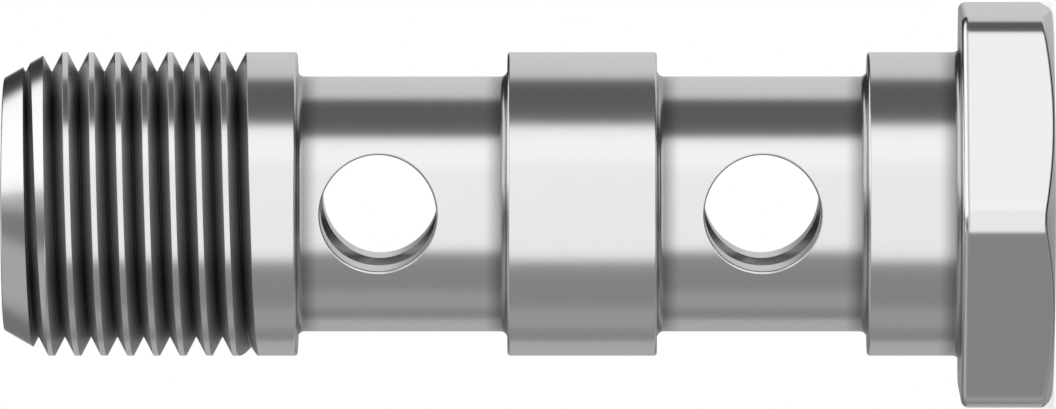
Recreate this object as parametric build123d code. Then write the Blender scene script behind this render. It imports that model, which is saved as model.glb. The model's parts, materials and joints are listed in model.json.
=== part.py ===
from build123d import *
import math
import os

# Hex head: the bolt stands on its outer face, at Z = 0, with two corners along Y
head_across_flats = 27.0
head_height = 6.35
head_corner_radius = 2.35
head_face_diameter = 26.4
head_chamfer_angle = 19.0
head_chamfer_edge_radius = 0.15
head_rim_radius = 0.5
under_head_radius = 0.5

# Lands and necks of the shank, in order from the head to the tip
land_diameter = 20.955
neck_depth = 1.68
head_land_length = 6.4
head_neck_length = 14.5
middle_land_length = 10.3
tip_neck_length = 14.5
threaded_land_length = 20.25
neck_corner_radius = 0.5
land_edge_radius = 0.2
tip_face_diameter = 17.4
tip_chamfer_angle = 30.0
tip_edge_radius = 0.2

# Right-hand parallel thread: a vee with flat crests and roots, as shares of the pitch
thread_pitch = 1.814
thread_angle = 55.0
thread_crest_share = 0.22
thread_root_share = 0.03
thread_length = 16.84
thread_end_angle = -164.6

# Blind flow bore from the tip, and a cross hole set off from the head side of each neck
bore_diameter = 10.0
bore_depth = 59.5
bore_drill_angle = 118.0
bore_mouth_chamfer = 0.4
cross_hole_diameter = 8.0
cross_hole_edge_radius = 0.15
head_hole_offset = 7.25
tip_hole_offset = 8.85

# Sizes that follow from the ones above
land_radius = land_diameter / 2
neck_radius = land_radius - neck_depth
bore_radius = bore_diameter / 2
head_land_top = head_height + head_land_length
head_neck_top = head_land_top + head_neck_length
middle_land_top = head_neck_top + middle_land_length
tip_neck_top = middle_land_top + tip_neck_length
tip_height = tip_neck_top + threaded_land_length


def rise(run, angle):
    """Height gained over a level run at an angle in degrees."""
    return run * math.tan(math.radians(angle))


def turned(outline):
    """Solid turned about the bolt's axis from a closed outline of radii and heights."""
    return revolve(Plane.XZ * outline, Axis.Z)


def outline_through(points):
    """Flat face whose straight sides join points given as radius and height."""
    return make_face(Polyline(*points, close=True))


def rounded(outline, corners, radius):
    """Outline with the corners at the given places rounded."""
    vertices = [outline.vertices().sort_by_distance(corner)[0] for corner in corners]
    return fillet(vertices, radius)


def hex_head():
    """Hexagon with rounded corners, a coned outer face and a rounded upper rim."""
    hexagon = RegularPolygon(head_across_flats / 2, 6, major_radius=False, rotation=30)
    hexagon = fillet(hexagon.vertices(), head_corner_radius)
    head = extrude(hexagon, head_height)
    head = fillet(head.faces().sort_by(Axis.Z)[-1].edges(), head_rim_radius)
    face_radius = head_face_diameter / 2
    cone_height = rise(head_across_flats - face_radius, head_chamfer_angle)
    cone = [
        (0, 0),
        (face_radius, 0),
        (head_across_flats, cone_height),
        (head_across_flats, cone_height + head_height),
        (0, cone_height + head_height),
    ]
    head = head & turned(outline_through(cone))
    chamfer = head.faces().filter_by(GeomType.CONE)[0]
    outer_edges = chamfer.edges().sort_by(Axis.Z)[1:]
    return fillet(outer_edges, head_chamfer_edge_radius)


def shank():
    """Lands and necks turned from one bar, ending in the chamfered tip."""
    neck_spans = [(head_land_top, head_neck_top), (middle_land_top, tip_neck_top)]
    tip_radius = tip_face_diameter / 2
    chamfer_run = rise(land_radius - tip_radius, 90 - tip_chamfer_angle)
    points = [(0, head_height), (land_radius, head_height)]
    for start, end in neck_spans:
        points += [(land_radius, start), (neck_radius, start), (neck_radius, end), (land_radius, end)]
    points += [(land_radius, tip_height - chamfer_run), (tip_radius, tip_height), (0, tip_height)]
    outline = outline_through(points)
    neck_ends = [height for span in neck_spans for height in span]
    outline = rounded(outline, [(neck_radius, height) for height in neck_ends], neck_corner_radius)
    outline = rounded(outline, [(land_radius, height) for height in neck_ends], land_edge_radius)
    outline = rounded(outline, [(tip_radius, tip_height)], tip_edge_radius)
    return turned(outline)


def cross_hole(height):
    """Drill that passes right through a neck along Y."""
    return Pos(0, 0, height) * Rot(90, 0, 0) * Cylinder(cross_hole_diameter / 2, land_diameter)


def flow_bore():
    """Blind bore down the axis from the tip, with a drill point at its end."""
    floor_height = tip_height - bore_depth
    point_depth = rise(bore_radius, 90 - bore_drill_angle / 2)
    bore = [
        (0, floor_height - point_depth),
        (bore_radius, floor_height),
        (bore_radius, tip_height - bore_mouth_chamfer),
        (bore_radius + bore_mouth_chamfer, tip_height),
        (0, tip_height),
    ]
    return turned(outline_through(bore))


def thread_groove():
    """Helical vee that starts past the tip and leaves the land along a tangent."""
    root_width = thread_pitch * thread_root_share
    crest_width = thread_pitch * thread_crest_share
    flank_width = (thread_pitch - root_width - crest_width) / 2
    root_radius = land_radius - rise(flank_width, 90 - thread_angle / 2)
    cut_radius = land_radius + crest_width / 2
    cut_width = root_width + 2 * rise(cut_radius - root_radius, thread_angle / 2)
    vee = [
        (root_radius, -root_width / 2),
        (cut_radius, -cut_width / 2),
        (cut_radius, cut_width / 2),
        (root_radius, root_width / 2),
    ]
    vee = Plane.XZ * outline_through(vee)
    helix = Helix(thread_pitch, thread_length + thread_pitch, root_radius)
    groove = sweep(vee, path=helix, is_frenet=True)
    run_out = extrude(vee, amount=math.sqrt(cut_radius**2 - root_radius**2), dir=-(helix % 0))
    return Pos(0, 0, tip_height - thread_length) * Rot(0, 0, thread_end_angle) * (groove + run_out)


def banjo_bolt():
    """Whole bolt, one solid from head to tip."""
    body = shank()
    body -= cross_hole(head_land_top + head_hole_offset)
    body -= cross_hole(middle_land_top + tip_hole_offset)
    body = fillet(body.edges().filter_by(GeomType.BSPLINE), cross_hole_edge_radius)
    body -= flow_bore()
    body -= thread_groove()
    body += hex_head()
    seat = body.faces().filter_by(Plane.XY).sort_by(Axis.Z)[1]
    return fillet(seat.inner_wires().edges(), under_head_radius)


os.makedirs("parts", exist_ok=True)
bolt = banjo_bolt()
bolt.label = "banjo_bolt"
export_step(bolt, "parts/banjo_bolt.step")
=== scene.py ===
"""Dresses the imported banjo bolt: its turned and threaded body, bright steel and a white studio."""

import json
import math

import bpy
import numpy as np
from bpy.props import FloatProperty, FloatVectorProperty, IntProperty, PointerProperty
from mathutils import Matrix, Vector


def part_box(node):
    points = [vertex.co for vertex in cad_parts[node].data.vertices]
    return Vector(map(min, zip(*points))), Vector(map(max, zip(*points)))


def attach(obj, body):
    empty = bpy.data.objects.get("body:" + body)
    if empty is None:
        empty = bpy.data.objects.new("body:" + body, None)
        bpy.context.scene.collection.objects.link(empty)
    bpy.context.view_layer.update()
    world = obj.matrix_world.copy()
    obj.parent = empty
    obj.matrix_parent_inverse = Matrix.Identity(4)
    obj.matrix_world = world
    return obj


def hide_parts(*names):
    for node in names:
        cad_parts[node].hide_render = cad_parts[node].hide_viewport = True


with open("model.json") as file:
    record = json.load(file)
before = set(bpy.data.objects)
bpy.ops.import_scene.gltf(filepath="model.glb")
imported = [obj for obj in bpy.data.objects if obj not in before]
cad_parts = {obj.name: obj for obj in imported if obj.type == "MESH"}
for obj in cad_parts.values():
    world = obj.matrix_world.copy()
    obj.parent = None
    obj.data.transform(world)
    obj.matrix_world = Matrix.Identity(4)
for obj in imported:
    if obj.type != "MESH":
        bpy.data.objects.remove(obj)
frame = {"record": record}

bl_info = {
    "name": "Banjo bolt",
    "version": (1, 0, 0),
    "blender": (4, 5, 0),
    "location": "3D View > Sidebar > Banjo bolt",
    "description": "Makes a turned steel banjo bolt and a white studio around it",
    "category": "Object",
}

NODE = "banjo_bolt"
BODY = "root"
MILLIMETRE = 0.001
DEGREE = math.radians(1)
HEX_SIDES = 6
HALF_HEX_TURN = math.pi / HEX_SIDES
LAND_EDGE = 0.2 * MILLIMETRE

mounts = {mount["name"]: mount for mount in frame["record"]["mounts"]}
cad_low, cad_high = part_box(NODE)


def height_of(mount):
    """Height of a mount above the face that the bolt stands on, in metres."""
    return mounts[mount]["pos_m"][2]


def size_of(mount, size):
    """A mount's radius or length in metres."""
    return mounts[mount]["dims"][size] * MILLIMETRE


def land_end(mount, side):
    """Height of a land's upper or lower end, with its rounded edge, for a side of 1 or -1."""
    return height_of(mount) + side * (size_of(mount, "length_mm") / 2 + LAND_EDGE)


def length(name, description, default):
    """Property for a length in metres."""
    return FloatProperty(
        name=name, description=description, default=default, unit="LENGTH", precision=5
    )


def share(name, description, default):
    """Property for a number from 0 to 1."""
    return FloatProperty(
        name=name, description=description, default=default, min=0, max=1, subtype="FACTOR"
    )


def angle(name, description, default):
    """Property for an angle, whose default is given in degrees."""
    return FloatProperty(
        name=name, description=description, default=default * DEGREE, subtype="ANGLE"
    )


def count(name, description, default):
    """Property for a number of steps, at least one for each side of the hexagon."""
    return IntProperty(name=name, description=description, default=default, min=HEX_SIDES)


def colour(name, description, grey):
    """Property for a colour, whose default is a grey."""
    return FloatVectorProperty(
        name=name,
        description=description,
        default=(grey, grey, grey),
        subtype="COLOR",
        min=0,
        max=1,
    )


class BoltSizes(bpy.types.PropertyGroup):
    """Sizes of the bolt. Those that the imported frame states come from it."""

    bolt_length: length("Length", "From the head's outer face to the tip", cad_high.z)
    across_flats: length("Across flats", "Width of the hexagon", cad_high.x - cad_low.x)
    head_height: length("Head height", "Height of the hexagon", height_of("under_head_face"))
    corner_radius: length("Corner radius", "Rounding of the hexagon's corners", 2.35 * MILLIMETRE)
    face_radius: length("Face radius", "Flat part of the head's outer face", 13.2 * MILLIMETRE)
    face_edge: length("Face edge", "Rounding between outer face and cone", 0.1 * MILLIMETRE)
    cone_angle: angle("Cone angle", "Slope of the head's outer cone", 19)
    cone_edge: length("Cone edge", "Rounding between cone and flats", 0.3 * MILLIMETRE)
    head_rim: length("Head rim", "Rounding of the hexagon's inner rim", 0.5 * MILLIMETRE)
    head_fillet: length("Under-head fillet", "Fillet under the head", 0.5 * MILLIMETRE)

    land_radius: length("Land radius", "Outside of lands and thread", size_of("head_land", "r_mm"))
    land_edge: length("Land edge", "Rounding of the lands' edges", LAND_EDGE)
    head_neck_start: length("First neck's start", "End of the head land", land_end("head_land", 1))
    head_neck_end: length(
        "First neck's end", "Start of the middle land", land_end("middle_land", -1)
    )
    tip_neck_start: length(
        "Second neck's start", "End of the middle land", land_end("middle_land", 1)
    )
    tip_neck_end: length("Second neck's end", "Start of the threaded land", 52.05 * MILLIMETRE)
    neck_depth: length("Neck depth", "How far the necks lie below the lands", 1.68 * MILLIMETRE)
    neck_fillet: length("Neck fillet", "Fillet where a neck meets a land", 0.5 * MILLIMETRE)
    tip_radius: length("Tip radius", "Flat part of the tip's face", 8.7 * MILLIMETRE)
    tip_angle: angle("Tip angle", "Angle of the tip's cone from the axis", 30)
    tip_edge: length("Tip edge", "Rounding between tip face and cone", 0.2 * MILLIMETRE)

    pitch: length("Pitch", "Rise of the thread in one turn", 1.814 * MILLIMETRE)
    vee_angle: angle("Vee angle", "Angle between the thread's flanks", 55)
    crest: share("Crest", "Flat crest as a share of the pitch", 0.22)
    root: share("Root", "Flat root as a share of the pitch", 0.03)
    crest_edge: length("Crest edge", "Rounding of the crests", 0.05 * MILLIMETRE)
    root_edge: length("Root edge", "Rounding of the roots", 0.02 * MILLIMETRE)
    thread_length: length("Thread length", "Threaded part", size_of("thread", "length_mm"))
    thread_end: angle("Thread end", "Direction in which the thread runs out", -164.6)

    bore_radius: length("Bore radius", "Radius of the flow bore", size_of("flow_bore", "r_mm"))
    bore_length: length("Bore length", "Its straight wall", size_of("flow_bore", "length_mm"))
    bore_mouth: length("Bore mouth", "Chamfer at the bore's mouth", 0.4 * MILLIMETRE)
    drill_angle: angle("Drill angle", "Point angle of the drill", 118)
    hole_radius: length("Hole radius", "Both cross holes", size_of("head_cross_hole", "r_mm"))
    hole_edge: length("Hole edge", "Rounding of the cross holes' rims", 0.15 * MILLIMETRE)
    head_hole: length("First hole", "Height of the hole by the head", height_of("head_cross_hole"))
    tip_hole: length("Second hole", "Height of the hole by the thread", height_of("tip_cross_hole"))

    columns: count("Columns", "Faces around the bolt, in sixes", 384)
    hole_columns: count("Hole columns", "Faces around each cross hole", 160)
    thread_columns: count("Thread columns", "Faces in one turn of the thread", 144)


# Node graphs


def operator_pair(operation):
    """Python operator, with its reflected form, that adds a Math node."""

    def forward(value, other):
        return value.graph.math(operation, value, other)

    def reflected(value, other):
        return value.graph.math(operation, other, value)

    return forward, reflected


class Value:
    """Output socket that can be used in Python expressions."""

    def __init__(self, graph, socket):
        self.graph = graph
        self.socket = socket

    __add__, __radd__ = operator_pair("ADD")
    __sub__, __rsub__ = operator_pair("SUBTRACT")
    __mul__, __rmul__ = operator_pair("MULTIPLY")
    __truediv__, __rtruediv__ = operator_pair("DIVIDE")
    __mod__, __rmod__ = operator_pair("FLOORED_MODULO")
    __gt__, __lt__ = operator_pair("GREATER_THAN")


class Graph:
    """Adds nodes to a tree."""

    def __init__(self, tree):
        self.tree = tree

    def node(self, kind, settings=None, inputs=None, output=0):
        """Adds a node, sets it up, fills its inputs with numbers or links, and gives one output."""
        node = self.tree.nodes.new(kind)
        for name, setting in (settings or {}).items():
            setattr(node, name, setting)
        for name, given in (inputs or {}).items():
            self.fill(node.inputs[name], given)
        return Value(self, node.outputs[output]) if node.outputs else node

    def fill(self, socket, given):
        """Links a socket to a value, or to several, or sets it."""
        if isinstance(given, Value):
            self.tree.links.new(given.socket, socket)
        elif isinstance(given, list):
            for value in given:
                self.tree.links.new(value.socket, socket)
        else:
            socket.default_value = given

    def math(self, operation, *operands):
        """Math node."""
        return self.node("ShaderNodeMath", {"operation": operation}, dict(enumerate(operands)))

    def sine(self, value):
        return self.math("SINE", value)

    def cosine(self, value):
        return self.math("COSINE", value)

    def tangent(self, value):
        return self.math("TANGENT", value)

    def root(self, value):
        return self.math("SQRT", value)

    def floor(self, value):
        return self.math("FLOOR", value)

    def least(self, value, other):
        return self.math("MINIMUM", value, other)

    def greatest(self, value, other):
        return self.math("MAXIMUM", value, other)

    def vector(self, x, y, z):
        """Vector with the given components."""
        return self.node("ShaderNodeCombineXYZ", {}, {"X": x, "Y": y, "Z": z})

    def parts(self, vector):
        """Three components of a vector."""
        first = self.node("ShaderNodeSeparateXYZ", {}, {"Vector": vector})
        return [Value(self, output) for output in first.socket.node.outputs]

    def attribute(self, name):
        """Number stored on the geometry, for geometry nodes."""
        return self.node("GeometryNodeInputNamedAttribute", {"data_type": "FLOAT"}, {"Name": name})

    def rising(self, value, edge, softness):
        """Goes smoothly from 0 to 1 as a value passes an edge."""
        return self.node(
            "ShaderNodeMapRange",
            {"interpolation_type": "SMOOTHSTEP"},
            {"Value": value, "From Min": edge - softness, "From Max": edge + softness},
        )


# Outlines, which the geometry nodes turn, sweep or cut with

BLANK, BORE, HOLE, VEE = range(4)

# Between two faces of a rounding, and where an edge starts to be a crease
LARGEST_TURN = 14 * DEGREE
SHARPEST_CURVE = 28 * DEGREE

# How far cutters reach past the surface, and how wide a hole's cutter is there, in roundings
CLEARANCE = 1 * MILLIMETRE
HOLE_FLARE = 3

# A cutter that rounds an edge ends in a lip, which leaves the surface at this slope. Its length is
# in roundings at a hole's rim, and a share of the crest's width along the thread.
LIP_SLOPE = 10 * DEGREE
HOLE_LIP = 0.6
CREST_LIP = 0.25

# Steps across a rim's rounding, columns of the thread's cutter before its helix, the share of a
# side's columns that go round the hexagon's corner, and the distance within which points merge
RIM_STEPS = 8
RUN_OUT_COLUMNS = 2
CORNER_SHARE = 0.1875
WELD = 0.001 * MILLIMETRE


def rise(run, slope):
    """Height gained over a level run."""
    return run * math.tan(slope)


def rounded(corners):
    """Outline through corners, each given as distance, height, rounding, share and follow."""
    points = []
    for index, (distance, height, radius, *marks) in enumerate(corners):
        if radius == 0:
            points.append((distance, height, *marks))
            continue
        corner = Vector((distance, height))
        back = (Vector(corners[index - 1][:2]) - corner).normalized()
        ahead = (Vector(corners[index + 1][:2]) - corner).normalized()
        half = back.angle(ahead) / 2
        centre = corner + (back + ahead).normalized() * radius / math.sin(half)
        start = corner + back * radius / math.tan(half) - centre
        end = corner + ahead * radius / math.tan(half) - centre
        steps = math.ceil((math.pi - 2 * half) / LARGEST_TURN)
        for step in range(steps + 1):
            toward = start.slerp(end, step / steps).normalized()
            points.append((*(centre + toward * radius), *marks))
    return points


def blank_outline(sizes):
    """Undrilled bolt, from the centre of its outer face to the centre of its tip.

    A share of 1 follows the hexagon, and 0 a circle. A follow of 1 lies on the head's cone.
    """
    apothem = sizes.across_flats / 2
    land, neck = sizes.land_radius, sizes.land_radius - sizes.neck_depth
    cone_height = rise(apothem - sizes.face_radius, sizes.cone_angle)
    tip_run = (land - sizes.tip_radius) / math.tan(sizes.tip_angle)
    corners = [
        (0, 0, 0, 0, 0),
        (sizes.face_radius, 0, sizes.face_edge, 0, 0),
        (apothem, cone_height, sizes.cone_edge, 1, 1),
        (apothem, sizes.head_height, sizes.head_rim, 1, 0),
        (land, sizes.head_height, sizes.head_fillet, 0, 0),
    ]
    for start, end in (
        (sizes.head_neck_start, sizes.head_neck_end),
        (sizes.tip_neck_start, sizes.tip_neck_end),
    ):
        corners += [
            (land, start, sizes.land_edge, 0, 0),
            (neck, start, sizes.neck_fillet, 0, 0),
            (neck, end, sizes.neck_fillet, 0, 0),
            (land, end, sizes.land_edge, 0, 0),
        ]
    corners += [
        (land, sizes.bolt_length - tip_run, 0, 0, 0),
        (sizes.tip_radius, sizes.bolt_length, sizes.tip_edge, 0, 0),
        (0, sizes.bolt_length, 0, 0, 0),
    ]
    return rounded(corners)


def bore_outline(sizes):
    """Drill that makes the flow bore, from its point to above the tip."""
    radius = sizes.bore_radius
    mouth = sizes.bolt_length - sizes.bore_mouth
    floor = mouth - sizes.bore_length
    clear = sizes.bore_mouth + CLEARANCE
    return rounded(
        [
            (0, floor - radius / math.tan(sizes.drill_angle / 2), 0, 0, 0),
            (radius, floor, 0, 0, 0),
            (radius, mouth, 0, 0, 0),
            (radius + clear, mouth + clear, 0, 0, 0),
            (0, mouth + clear, 0, 0, 0),
        ]
    )


def hole_outline(sizes):
    """Drill for a cross hole. A follow of 1 or -1 keeps to a rim, at a share of its rounding."""
    top = sizes.land_radius + CLEARANCE
    wide = sizes.hole_radius + HOLE_FLARE * sizes.hole_edge
    half = [(0, 0, step / RIM_STEPS, 1) for step in range(RIM_STEPS + 1)]
    half += [(HOLE_LIP * sizes.hole_edge, 0, 1, 1), (wide, top, 0, 0), (0, top, 0, 0)]
    mirrored = [
        (distance, -height, share, -follow) for distance, height, share, follow in reversed(half)
    ]
    return mirrored + half


def vee_shape(land, pitch, crest, root, slope):
    """Half width of the groove at the lands, and the radii of its root and its cutter's outside."""
    half_width = pitch * (1 - crest) / 2
    root_radius = land - (half_width - pitch * root / 2) / slope
    return half_width, root_radius, land + pitch * crest / 2


def vee_outline(sizes):
    """Section of the thread cutter, which rounds the crests on both sides of the groove."""
    flank = sizes.vee_angle / 2
    slope = math.tan(flank)
    half_width, root_radius, outside = vee_shape(
        sizes.land_radius, sizes.pitch, sizes.crest, sizes.root, slope
    )
    turn = math.pi / 2 - flank - LIP_SLOPE
    drop = sizes.crest_edge * math.tan(turn / 2) * math.sin(LIP_SLOPE)
    corner = (sizes.land_radius - drop, half_width - drop * slope)
    lip = half_width + sizes.pitch * sizes.crest * CREST_LIP
    lip_radius = corner[0] + rise(lip - corner[1], LIP_SLOPE)
    half = [
        (root_radius, sizes.pitch * sizes.root / 2, sizes.root_edge, 0, 0),
        (*corner, sizes.crest_edge, 0, 0),
        (lip_radius, lip, 0, 0, 0),
        (outside, lip, 0, 0, 0),
    ]
    mirrored = [(distance, -height, *rest) for distance, height, *rest in reversed(half)]
    outline = rounded(mirrored + half)[::-1]
    return outline + outline[:1]


def outline_wires(sizes):
    """Object that holds all four outlines as wires, marked for the geometry nodes."""
    outlines = {
        BLANK: blank_outline(sizes),
        BORE: bore_outline(sizes),
        HOLE: hole_outline(sizes),
        VEE: vee_outline(sizes),
    }
    points, edges, marks = [], [], []
    for number, outline in outlines.items():
        first = len(points)
        points += [(distance, 0, height) for distance, height, *_ in outline]
        marks += [(number, *rest) for _, _, *rest in outline]
        edges += [(point, point + 1) for point in range(first, len(points) - 1)]
    mesh = bpy.data.meshes.new("outlines")
    mesh.from_pydata(points, edges, [])
    for name, values in zip(("outline", "share", "follow"), zip(*marks)):
        mesh.attributes.new(name, "FLOAT", "POINT").data.foreach_set("value", values)
    wires = bpy.data.objects.new("outlines", mesh)
    bpy.context.collection.objects.link(wires)
    return wires


# Geometry nodes that make the bolt from the outlines


class SizeInputs:
    """Named inputs of a tree for the bolt's sizes, each made when it is first asked for."""

    def __init__(self, graph):
        self.graph = graph
        self.group_input = graph.tree.nodes.new("NodeGroupInput")
        self.names = {}

    def add(self, label, kind):
        """New input of the tree."""
        item = self.graph.tree.interface.new_socket(label, in_out="INPUT", socket_type=kind)
        self.names[label] = item.identifier
        return Value(self.graph, self.group_input.outputs[label])

    def __getattr__(self, name):
        size = BoltSizes.bl_rna.properties[name]
        kind = "NodeSocketInt" if size.type == "INT" else "NodeSocketFloat"
        value = self.add(size.name, kind)
        setattr(self, name, value)
        return value


class Follower:
    """Grid with one row for each point of an outline, and what each point needs for its place."""

    def __init__(self, graph, outlines, number, columns):
        marked = graph.math("COMPARE", graph.attribute("outline"), number, 0.5)
        self.graph = graph
        self.outline = graph.node(
            "GeometryNodeSeparateGeometry",
            {"domain": "POINT"},
            {"Geometry": outlines, "Selection": marked},
        )
        points = graph.node(
            "GeometryNodeAttributeDomainSize", {"component": "MESH"}, {"Geometry": self.outline}
        )
        across = columns + 1
        self.grid = graph.node(
            "GeometryNodeMeshGrid", {}, {"Vertices X": points, "Vertices Y": across}
        )
        index = graph.node("GeometryNodeInputIndex")
        self.row = graph.floor(index / across)
        self.column = index % across
        place = self.sampled("FLOAT_VECTOR", graph.node("GeometryNodeInputPosition"))
        self.distance, _, self.height = graph.parts(place)
        self.share = self.sampled("FLOAT", graph.attribute("share"))
        self.follow = self.sampled("FLOAT", graph.attribute("follow"))

    def sampled(self, data_type, value):
        """Value at the outline's point that this row follows."""
        return self.graph.node(
            "GeometryNodeSampleIndex",
            {"data_type": data_type, "domain": "POINT"},
            {"Geometry": self.outline, "Value": value, "Index": self.row},
        )

    def shaped(self, x, y, z):
        """Grid with its points in place, closed where they meet, facing outwards."""
        moved = self.graph.node(
            "GeometryNodeSetPosition",
            {},
            {"Geometry": self.grid, "Position": self.graph.vector(x, y, z)},
        )
        closed = self.graph.node(
            "GeometryNodeMergeByDistance", {}, {"Geometry": moved, "Distance": WELD}
        )
        return self.graph.node("GeometryNodeFlipFaces", {}, {"Mesh": closed})


def blank(graph, outlines, size):
    """Turned bar with its hexagon, before any hole is drilled.

    Of each side's columns, CORNER_SHARE go round its corner and the others along its flat.
    """
    grid = Follower(graph, outlines, BLANK, size.columns)
    sides = grid.column * HEX_SIDES / size.columns
    side = graph.floor(sides)
    along = sides - side
    corner = side * math.tau / HEX_SIDES + HALF_HEX_TURN
    bend = graph.least(along / CORNER_SHARE, 1) * math.tau / HEX_SIDES - HALF_HEX_TURN
    facing = corner + bend

    apothem = size.across_flats / 2
    corner_centre = (apothem - size.corner_radius) / math.cos(HALF_HEX_TURN)
    half_flat = (apothem - size.corner_radius) * math.tan(HALF_HEX_TURN)
    half_view = graph.math("ARCTANGENT", half_flat / apothem)
    progress = graph.greatest(along - CORNER_SHARE, 0) * 2 / (1 - CORNER_SHARE) - 1
    slide = half_flat + apothem * graph.tangent(half_view * progress)
    out_x, out_y = graph.cosine(facing), graph.sine(facing)
    edge_x = corner_centre * graph.cosine(corner) + size.corner_radius * out_x - slide * out_y
    edge_y = corner_centre * graph.sine(corner) + size.corner_radius * out_y + slide * out_x
    reach = graph.root(edge_x * edge_x + edge_y * edge_y)

    inset = grid.distance - apothem
    round_share = (1 - grid.share) * grid.distance / reach
    x = grid.share * (edge_x + inset * out_x) + round_share * edge_x
    y = grid.share * (edge_y + inset * out_y) + round_share * edge_y
    z = grid.height + grid.follow * (reach - apothem) * graph.tangent(size.cone_angle)
    return grid.shaped(x, y, z)


def marked(graph, cutter, name):
    """Cutter whose faces leave a mark where they cut, for the steel's roughness and its painted
    shade.
    """
    return graph.node(
        "GeometryNodeStoreNamedAttribute",
        {"data_type": "FLOAT", "domain": "FACE"},
        {"Geometry": cutter, "Name": name, "Value": 1},
    )


def bore(graph, outlines, size):
    """Cutter for the flow bore."""
    grid = Follower(graph, outlines, BORE, size.hole_columns)
    turn = grid.column * math.tau / size.hole_columns
    x, y = grid.distance * graph.cosine(turn), grid.distance * graph.sine(turn)
    return marked(graph, grid.shaped(x, y, grid.height), "drilled")


def cross_hole(graph, outlines, size, height):
    """Cutter for a cross hole along Y, which rounds its rims as a ball rolled round them would."""
    grid = Follower(graph, outlines, HOLE, size.hole_columns)
    turn = grid.column * math.tau / size.hole_columns
    across = size.hole_radius * graph.cosine(turn)
    neck_radius = size.land_radius - size.neck_depth
    neck = graph.root(neck_radius * neck_radius - across * across)
    slope = across * graph.cosine(turn) / neck
    fall = graph.math("ARCTANGENT", slope)
    swept = grid.share * (math.pi / 2 - LIP_SLOPE + fall)
    lip = fall - LIP_SLOPE
    out = size.hole_edge * (1 - graph.cosine(swept)) + grid.distance * graph.cosine(lip)
    up = neck - size.hole_edge * (slope + 1 / graph.cosine(fall) - graph.sine(swept))
    up = up - grid.distance * graph.sine(lip)
    on_rim = grid.follow * grid.follow
    distance = grid.distance + on_rim * (size.hole_radius + out - grid.distance)
    x = distance * graph.cosine(turn)
    y = grid.height + grid.follow * up
    z = height - distance * graph.sine(turn)
    return grid.shaped(x, y, z)


def groove(graph, outlines, size):
    """Cutter for the thread: a helix that leaves the land along a tangent and ends past the tip.

    Its first two columns are a cap and the end of the run-out, and its last one is a cap.
    """
    slope = graph.tangent(size.vee_angle / 2)
    _, root_radius, outside = vee_shape(size.land_radius, size.pitch, size.crest, size.root, slope)
    steps = graph.floor((size.thread_length / size.pitch + 1) * size.thread_columns)
    grid = Follower(graph, outlines, VEE, steps + (RUN_OUT_COLUMNS + 1))
    step = grid.column - RUN_OUT_COLUMNS
    turns = graph.least(graph.greatest(step, 0), steps) / size.thread_columns
    running_out = step < 0
    capped = (grid.column < 1) + (step > steps)
    distance = grid.distance + capped * ((root_radius + outside) / 2 - grid.distance)
    height = grid.height * (1 - capped)

    turn = size.thread_end + turns * math.tau
    climb = size.pitch / (math.tau * root_radius)
    reach = outside * outside - root_radius * root_radius
    run = running_out * graph.root(reach / (1 + climb * climb))
    x = distance * graph.cosine(turn) + run * graph.sine(turn)
    y = distance * graph.sine(turn) - run * graph.cosine(turn)
    z = size.bolt_length - size.thread_length + size.pitch * turns + height - run * climb
    return marked(graph, grid.shaped(x, y, z), "groove")


def bolt_tree():
    """Tree that turns the blank, drills it, cuts its thread and smooths what is round."""
    tree = bpy.data.node_groups.new("Banjo bolt", "GeometryNodeTree")
    graph = Graph(tree)
    size = SizeInputs(graph)
    outlines = size.add("Outlines", "NodeSocketGeometry")
    steel = size.add("Steel", "NodeSocketMaterial")
    tree.interface.new_socket("Bolt", in_out="OUTPUT", socket_type="NodeSocketGeometry")
    cutters = [
        bore(graph, outlines, size),
        cross_hole(graph, outlines, size, size.head_hole),
        cross_hole(graph, outlines, size, size.tip_hole),
        groove(graph, outlines, size),
    ]
    cut = graph.node(
        "GeometryNodeMeshBoolean",
        {"operation": "DIFFERENCE", "solver": "MANIFOLD"},
        {"Mesh 1": blank(graph, outlines, size), "Mesh 2": cutters},
    )
    smooth = graph.node("GeometryNodeSetShadeSmooth", {}, {"Geometry": cut})
    sharp = graph.node("GeometryNodeInputMeshEdgeAngle") > SHARPEST_CURVE
    creased = graph.node(
        "GeometryNodeSetMeshNormal",
        {"mode": "SHARPNESS"},
        {"Mesh": smooth, "Edge Sharpness": sharp},
    )
    realized = graph.node("GeometryNodeRealizeInstances", {}, {"Geometry": creased})
    finished = graph.node(
        "GeometryNodeSetMaterial", {}, {"Geometry": realized, "Material": steel}
    )
    group_output = tree.nodes.new("NodeGroupOutput")
    tree.links.new(finished.socket, group_output.inputs[0])
    return tree, size.names


def settle_modifiers(maker, name):
    """Replaces an object with one at the origin that has the plain mesh its modifiers give."""
    depsgraph = bpy.context.evaluated_depsgraph_get()
    mesh = bpy.data.meshes.new_from_object(
        maker.evaluated_get(depsgraph), preserve_all_data_layers=True, depsgraph=depsgraph
    )
    mesh.name = name
    bpy.data.objects.remove(maker)
    piece = bpy.data.objects.new(name, mesh)
    bpy.context.collection.objects.link(piece)
    return piece


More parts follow.
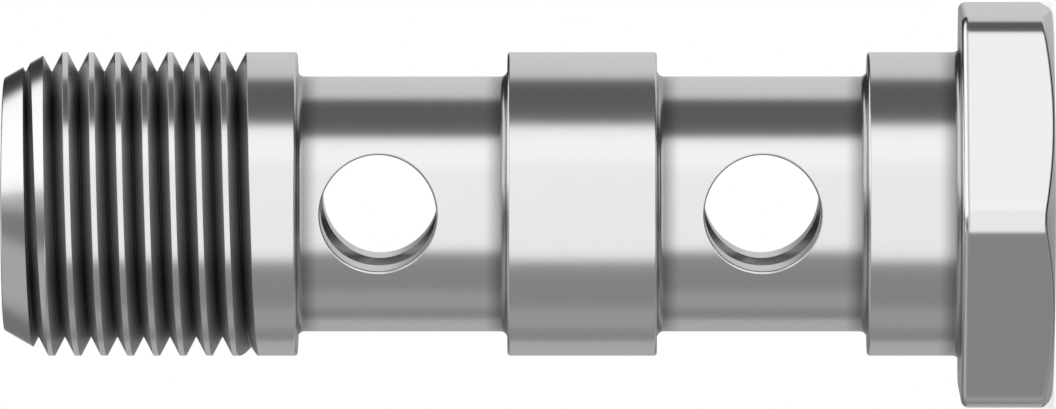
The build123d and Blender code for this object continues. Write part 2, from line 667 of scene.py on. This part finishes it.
def steady_round_walls(mesh, radii, above):
    """Sets the normals of round walls square to the bolt's axis, where a cut left them uneven."""
    corners = len(mesh.loops)
    normals = np.empty(corners * 3, dtype=np.float32)
    mesh.corner_normals.foreach_get("vector", normals)
    normals = normals.reshape(corners, 3)
    points = np.empty(len(mesh.vertices) * 3, dtype=np.float32)
    mesh.vertices.foreach_get("co", points)
    owners = np.empty(corners, dtype=np.int32)
    mesh.loops.foreach_get("vertex_index", owners)
    places = points.reshape(-1, 3)[owners]
    outward = places * (1, 1, 0)
    reach = np.linalg.norm(outward, axis=1, keepdims=True)
    outward /= np.maximum(reach, WELD)
    facing = (normals * outward).sum(axis=1)
    on_wall = (np.abs(reach - radii) < 2 * WELD).any(axis=1)
    steadied = on_wall & (np.abs(facing) > math.cos(SHARPEST_CURVE)) & (places[:, 2] > above)
    normals[steadied] = outward[steadied] * np.sign(facing[steadied])[:, None]
    mesh.normals_split_custom_set(normals)


class MakeBolt(bpy.types.Operator):
    """Makes the bolt in steel, in place of its plain solid"""

    bl_idname = "banjo.bolt"
    bl_label = "Make bolt"
    bl_options = {"REGISTER", "UNDO"}

    def execute(self, context):
        sizes = context.scene.bolt_sizes
        maker = outline_wires(sizes)
        tree, inputs = bolt_tree()
        nodes = maker.modifiers.new("Bolt", "NODES")
        nodes.node_group = tree
        nodes[inputs["Steel"]] = bright_steel(sizes, context.scene.bolt_steel)
        for size in BoltSizes.bl_rna.properties:
            if size.name in inputs:
                nodes[inputs[size.name]] = getattr(sizes, size.identifier)
        normals = maker.modifiers.new("Normals", "WEIGHTED_NORMAL")
        normals.keep_sharp = True
        bolt = settle_modifiers(maker, "turned_bolt")
        if not bolt.data.polygons:
            raise RuntimeError("the bolt's sizes give no solid")
        radii = (sizes.land_radius, sizes.land_radius - sizes.neck_depth, sizes.bore_radius)
        steady_round_walls(bolt.data, radii, sizes.head_height)
        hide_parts(NODE)
        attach(bolt, BODY)
        return {"FINISHED"}


# Steel

# Marks are this many times as long as they are wide
MARK_STRETCH = 50

# Spots of uneven polish to a metre
BLOTCH_SCALE = 300

# Painted shade in corners: how shut a point is counted beyond what its surroundings hide, and how
# fast that darkens it
SHUT_GAIN = 1.05
SHUT_POWER = 2.3

# Line of painted shade along the thread's root: its darkness, and its edge as a share of the depth
ROOT_SHADE = 0.85
ROOT_SHADE_EDGE = 0.97
ROOT_SHADE_SOFTNESS = 0.02


class BoltSteel(bpy.types.PropertyGroup):
    """Colour and finish of the steel, and the shade painted into its colour."""

    colour: colour("Colour", "Clean steel", 0.93)
    roughness: share("Roughness", "Roughness of the clean steel", 0.21)
    unevenness: share("Unevenness", "How much the roughness varies", 0.03)
    crest_shaded_brightness: share("Thread reflectance", "Brightness at the thread's crests", 0.84)
    root_reflectance: share("Root reflectance", "Brightness near the thread's roots", 0.31)
    thread_roughness: share("Thread roughness", "Roughness of the thread's flanks", 0.3)
    bore_shaded_brightness: share("Bore reflectance", "Brightness deep in the oily bore", 0.65)
    bore_dark_from: length("Bore dark from", "Where the bore is fully dark", 12 * MILLIMETRE)
    corner_shade_reach: length("Grime reach", "How far dark oil spreads from a corner", 1.63 * MILLIMETRE)
    corner_shade: share("Grime", "How dark the oil makes a right-angled corner", 0.95)
    mark_spacing: length("Mark spacing", "Between turning or drawing marks", 0.12 * MILLIMETRE)
    mark_depth: length("Mark depth", "Depth of those marks", 0.0001 * MILLIMETRE)


def surface_marks(graph, place, radius, sizes, look):
    """Noise from 0 to 1 along the marks of turning, and along those of drawing on the flats."""
    x, y, z = graph.parts(place)
    cone = (radius - sizes.face_radius) * math.tan(sizes.cone_angle)
    drawn = (radius > sizes.face_radius) * (z > cone) * (z < sizes.head_height - sizes.head_rim)
    along = 1 / look.mark_spacing
    across = along / MARK_STRETCH
    turned_marks = graph.node(
        "ShaderNodeTexNoise",
        {"noise_dimensions": "4D"},
        {
            "Vector": graph.vector(x * across, y * across, z * along),
            "W": radius * along,
            "Scale": 1,
        },
    )
    drawn_marks = graph.node(
        "ShaderNodeTexNoise",
        {},
        {"Vector": graph.vector(x * along, y * along, z * across), "Scale": 1},
    )
    return turned_marks + drawn * (drawn_marks - turned_marks)


def corner_and_bore_painted_shade(graph, z, sizes, look):
    """Share of its brightness that the steel keeps under the shade painted into its corners and deep
    in the bore.
    """
    # Painted shade: ambient occlusion darkens the steel's colour in its corners, where shade falls
    openness = graph.node(
        "ShaderNodeAmbientOcclusion",
        {"only_local": True, "samples": 8},
        {"Distance": look.corner_shade_reach},
        "AO",
    )
    unshaded = graph.math("POWER", graph.greatest(1 - (1 - openness) * SHUT_GAIN, 0), SHUT_POWER)
    painted_shade_factor = 1 - look.corner_shade * (1 - unshaded)
    # Painted shade inside the bore: its wall darkens from the mouth inwards, fully dark at
    # bore_dark_from
    drilled = graph.node("ShaderNodeAttribute", {"attribute_name": "drilled"}, output="Fac")
    half_way = look.bore_dark_from / 2
    deep = graph.rising(sizes.bolt_length - z, half_way, half_way)
    return painted_shade_factor * (1 - drilled * deep * (1 - look.bore_shaded_brightness))


def thread_painted_shade(graph, radius, sizes, look):
    """Share of its brightness that the steel keeps under the shade painted into the thread, darker
    towards the roots.
    """
    slope = math.tan(sizes.vee_angle / 2)
    _, root_radius, _ = vee_shape(
        sizes.land_radius, sizes.pitch, sizes.crest, sizes.root, slope
    )
    # Painted shade: the thread's colour darkens from its crests down towards its roots
    depth = (sizes.land_radius - radius) / (sizes.land_radius - root_radius)
    height = graph.greatest(1 - depth, 0)
    gain = look.crest_shaded_brightness - look.root_reflectance
    depth_shaded = look.root_reflectance + height * graph.root(height) * gain
    # Painted shade: a dark line along the thread's root
    return depth_shaded * (1 - ROOT_SHADE * graph.rising(depth, ROOT_SHADE_EDGE, ROOT_SHADE_SOFTNESS))


def bright_steel(sizes, look):
    """Turned steel, drawn on the hexagon's flats, with painted shade darkening its corners, its
    thread and the inside of its bore.
    """
    material = bpy.data.materials.new("bright_steel")
    material.use_nodes = True
    graph = Graph(material.node_tree)
    graph.tree.nodes.clear()
    place = graph.node("ShaderNodeTexCoord", output="Object")
    x, y, z = graph.parts(place)
    radius = graph.root(x * x + y * y)

    marks = surface_marks(graph, place, radius, sizes, look)
    blotches = graph.node(
        "ShaderNodeTexNoise", {}, {"Vector": place, "Scale": BLOTCH_SCALE, "Detail": 3}
    )
    flank = graph.node("ShaderNodeAttribute", {"attribute_name": "groove"}, output="Fac")
    painted_shade_factor = corner_and_bore_painted_shade(graph, z, sizes, look)
    # On the thread's faces, the thread's painted shade takes the place of the painted shade in
    # corners
    painted_shade_factor = painted_shade_factor + flank * (thread_painted_shade(graph, radius, sizes, look) - painted_shade_factor)
    colour_now = graph.node(
        "ShaderNodeVectorMath", {"operation": "SCALE"}, {"Vector": look.colour, "Scale": painted_shade_factor}
    )
    bump = graph.node(
        "ShaderNodeBump", {}, {"Height": marks, "Distance": look.mark_depth, "Strength": 1}
    )
    surface = graph.node(
        "ShaderNodeBsdfPrincipled",
        {},
        {
            "Base Color": colour_now,
            "Metallic": 1,
            "Roughness": look.roughness
            + flank * (look.thread_roughness - look.roughness)
            + look.unevenness * (blotches + marks - 1),
            "Normal": bump,
        },
    )
    graph.node("ShaderNodeOutputMaterial", {}, {"Surface": surface})
    return material


# Studio

# What the metal sees on a wall round it. For each panel: its turn from and to, its lift from and
# to, in degrees as seen from the bolt with the camera straight ahead, and its level. A panel covers
# those before it, one darker than what it covers is a flag, and one that turns past 180 has no edge
# on that side.
WALL = 0.61
PANEL_SOFTNESS = 5
PANELS = (
    (-210, -130, -90, 90, 0.41),
    (-210, -128, 8, 90, 0.165),
    (-130, -43, -90, 90, 0.235),
    (-110, -86, -90, 34, 0.32),
    (-128, -50, 34, 90, 0.39),
    (60.5, 110.4, -90, 30, 0.097),
    (110.4, 210, 7, 90, 0.03),
    (15, 115, 38, 90, 1.08),
    (100, 129, 27, 90, 1.08),
    (-43, 60.5, -48, 38, 0.89),
    (32, 60.5, -48, 38, 0.98),
    (-43, 75, 13, 34, 0.5),
    (-8, 15, 38, 90, 0.4),
    (-50, -8, 38, 90, 0.175),
    (-155, -105, 68, 90, 1.08),
    (-43, 60.5, -90, -48, 0.13),
    (60.5, 112, -90, -50, 0.03),
    (-60, 75, -90, -66, 0.04),
    (110.4, 210, -90, -52, 0.04),
    (-210, -110, -90, -52, 0.04),
    (150, 210, -60, -8, 0.39),
    (150, 210, -26, -8, 0.5),
    (-210, -150, -60, -8, 0.15),
    (-210, -170, -44, -8, 0.33),
)

# The floor's corners, and where it is half faded out and how far on each side, in floor radii
FLOOR_CORNERS = 96
FADE_MIDDLE = 0.6
FADE_SOFTNESS = 0.4


class BoltStudio(bpy.types.PropertyGroup):
    """Camera, floor and light."""

    lens: FloatProperty(name="Lens", description="Focal length in millimetres", default=650)
    distance: length("Distance", "From the camera to the bolt", 1.3163)
    azimuth: angle("Azimuth", "Camera's turn about the bolt from its cross holes", 4.8)
    tilt: angle("Tilt", "Camera's turn towards the head", 0.2634)
    aim: length("Aim", "Height on the bolt at the picture's centre", 36.14 * MILLIMETRE)
    drop: length("Drop", "How far the picture's centre lies below the axis", 0.022 * MILLIMETRE)
    floor_radius: length("Floor radius", "Where the floor has faded out", 0.15)
    floor_colour: colour("Floor colour", "Pale floor", 0.8)
    floor_glow: share("Floor glow", "Part of the floor's white that no shadow takes away", 0.6)


def studio_directions(studio):
    """Level direction toward the camera, and the direction that is up in its picture."""
    turn = studio.azimuth
    toward = Vector((math.sin(turn), -math.cos(turn), 0))
    return toward, Vector((math.cos(turn), math.sin(turn), 0))


def studio_camera(studio):
    """Camera on the bolt's side, rolled so that the bolt lies with its thread to the left."""
    toward, up = studio_directions(studio)
    back = toward * math.cos(studio.tilt) + Vector((0, 0, -math.sin(studio.tilt)))
    right = up.cross(back)
    data = bpy.data.cameras.new("studio_camera")
    data.lens = studio.lens
    camera = bpy.data.objects.new("studio_camera", data)
    bpy.context.collection.objects.link(camera)
    aim = Vector((0, 0, studio.aim)) - up * studio.drop
    camera.matrix_world = Matrix.LocRotScale(
        aim + back * studio.distance, Matrix((right, up, back)).transposed(), None
    )
    return camera


def studio_world(studio):
    """White background for the camera, and for the metal a wall with soft panels and flags."""
    world = bpy.data.worlds.new("white_studio")
    world.use_nodes = True
    graph = Graph(world.node_tree)
    graph.tree.nodes.clear()
    toward, up = studio_directions(studio)
    x, y, z = graph.parts(graph.node("ShaderNodeTexCoord", output="Generated"))
    turn = graph.math("ARCTAN2", x * up.x + y * up.y, x * toward.x + y * toward.y) / DEGREE
    lift = graph.math("ARCSINE", z) / DEGREE
    light = WALL
    for turn_from, turn_to, lift_from, lift_to, level in PANELS:
        inside = graph.rising(turn, turn_from, PANEL_SOFTNESS)
        inside *= 1 - graph.rising(turn, turn_to, PANEL_SOFTNESS)
        inside *= graph.rising(lift, lift_from, PANEL_SOFTNESS)
        inside *= 1 - graph.rising(lift, lift_to, PANEL_SOFTNESS)
        light = light + inside * (level - light)
    seen = graph.node("ShaderNodeLightPath", output="Is Camera Ray")
    strength = light + seen * (1 - light)
    background = graph.node(
        "ShaderNodeBackground", {}, {"Color": (1, 1, 1, 1), "Strength": strength}
    )
    graph.node("ShaderNodeOutputWorld", {}, {"Surface": background})
    return world


def pale_floor(studio):
    """Material of the floor: pale, showing its shadow, and fading out at its rim and from below."""
    material = bpy.data.materials.new("pale_floor")
    material.use_nodes = True
    graph = Graph(material.node_tree)
    graph.tree.nodes.clear()
    x, y, z = graph.parts(graph.node("ShaderNodeTexCoord", output="Object"))
    radius = graph.root(x * x + y * y)
    seen = graph.node("ShaderNodeLightPath", output="Is Camera Ray")
    paint = graph.node("ShaderNodeBsdfDiffuse", {}, {"Color": (*studio.floor_colour, 1)})
    glow = graph.node(
        "ShaderNodeEmission", {}, {"Color": (1, 1, 1, 1), "Strength": seen * studio.floor_glow}
    )
    lit = graph.node("ShaderNodeAddShader", {}, {0: paint, 1: glow})
    below = graph.node("ShaderNodeNewGeometry", output="Backfacing")
    fade = graph.rising(
        radius, studio.floor_radius * FADE_MIDDLE, studio.floor_radius * FADE_SOFTNESS
    )
    clear = graph.node("ShaderNodeBsdfTransparent")
    shown = graph.node(
        "ShaderNodeMixShader", {}, {0: graph.greatest(fade, below), 1: lit, 2: clear}
    )
    graph.node("ShaderNodeOutputMaterial", {}, {"Surface": shown})
    return material


def studio_floor(studio):
    """Round floor that the bolt stands on."""
    turns = [math.tau * corner / FLOOR_CORNERS for corner in range(FLOOR_CORNERS)]
    rim = [
        (studio.floor_radius * math.cos(turn), studio.floor_radius * math.sin(turn), 0)
        for turn in turns
    ]
    mesh = bpy.data.meshes.new("floor")
    mesh.from_pydata(rim, [], [range(FLOOR_CORNERS)])
    mesh.materials.append(pale_floor(studio))
    floor = bpy.data.objects.new("floor", mesh)
    bpy.context.collection.objects.link(floor)
    floor.visible_glossy = False
    return floor


class MakeStudio(bpy.types.Operator):
    """Sets up the camera, the floor and the white studio's light"""

    bl_idname = "banjo.studio"
    bl_label = "Make studio"
    bl_options = {"REGISTER", "UNDO"}

    def execute(self, context):
        studio = context.scene.bolt_studio
        context.scene.camera = studio_camera(studio)
        context.scene.world = studio_world(studio)
        context.scene.view_settings.view_transform = "Standard"
        studio_floor(studio)
        return {"FINISHED"}


# Add-on


class BoltPanel(bpy.types.Panel):
    """Lists the settings and what can be made from them"""

    bl_idname = "BANJO_PT_bolt"
    bl_label = "Banjo bolt"
    bl_space_type = "VIEW_3D"
    bl_region_type = "UI"
    bl_category = "Banjo bolt"

    def draw(self, context):
        scene = context.scene
        for operator, groups in (
            (MakeBolt, (scene.bolt_sizes, scene.bolt_steel)),
            (MakeStudio, (scene.bolt_studio,)),
        ):
            box = self.layout.box()
            for group in groups:
                for name in group.__annotations__:
                    box.prop(group, name)
            box.operator(operator.bl_idname)


SETTINGS = {"bolt_sizes": BoltSizes, "bolt_steel": BoltSteel, "bolt_studio": BoltStudio}
CLASSES = (*SETTINGS.values(), MakeBolt, MakeStudio, BoltPanel)


def register():
    """Adds the classes and the scene's settings."""
    for cls in CLASSES:
        bpy.utils.register_class(cls)
    for name, group in SETTINGS.items():
        setattr(bpy.types.Scene, name, PointerProperty(type=group))


def unregister():
    """Takes them away again."""
    for name in SETTINGS:
        delattr(bpy.types.Scene, name)
    for cls in reversed(CLASSES):
        bpy.utils.unregister_class(cls)


def main():
    """Makes the bolt and its studio."""
    for name in ("Cube", "Light", "Camera"):
        if name in bpy.data.objects:
            bpy.data.objects.remove(bpy.data.objects[name])
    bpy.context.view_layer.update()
    register()
    bpy.ops.banjo.bolt()
    bpy.ops.banjo.studio()


if __name__ == "__main__":
    main()
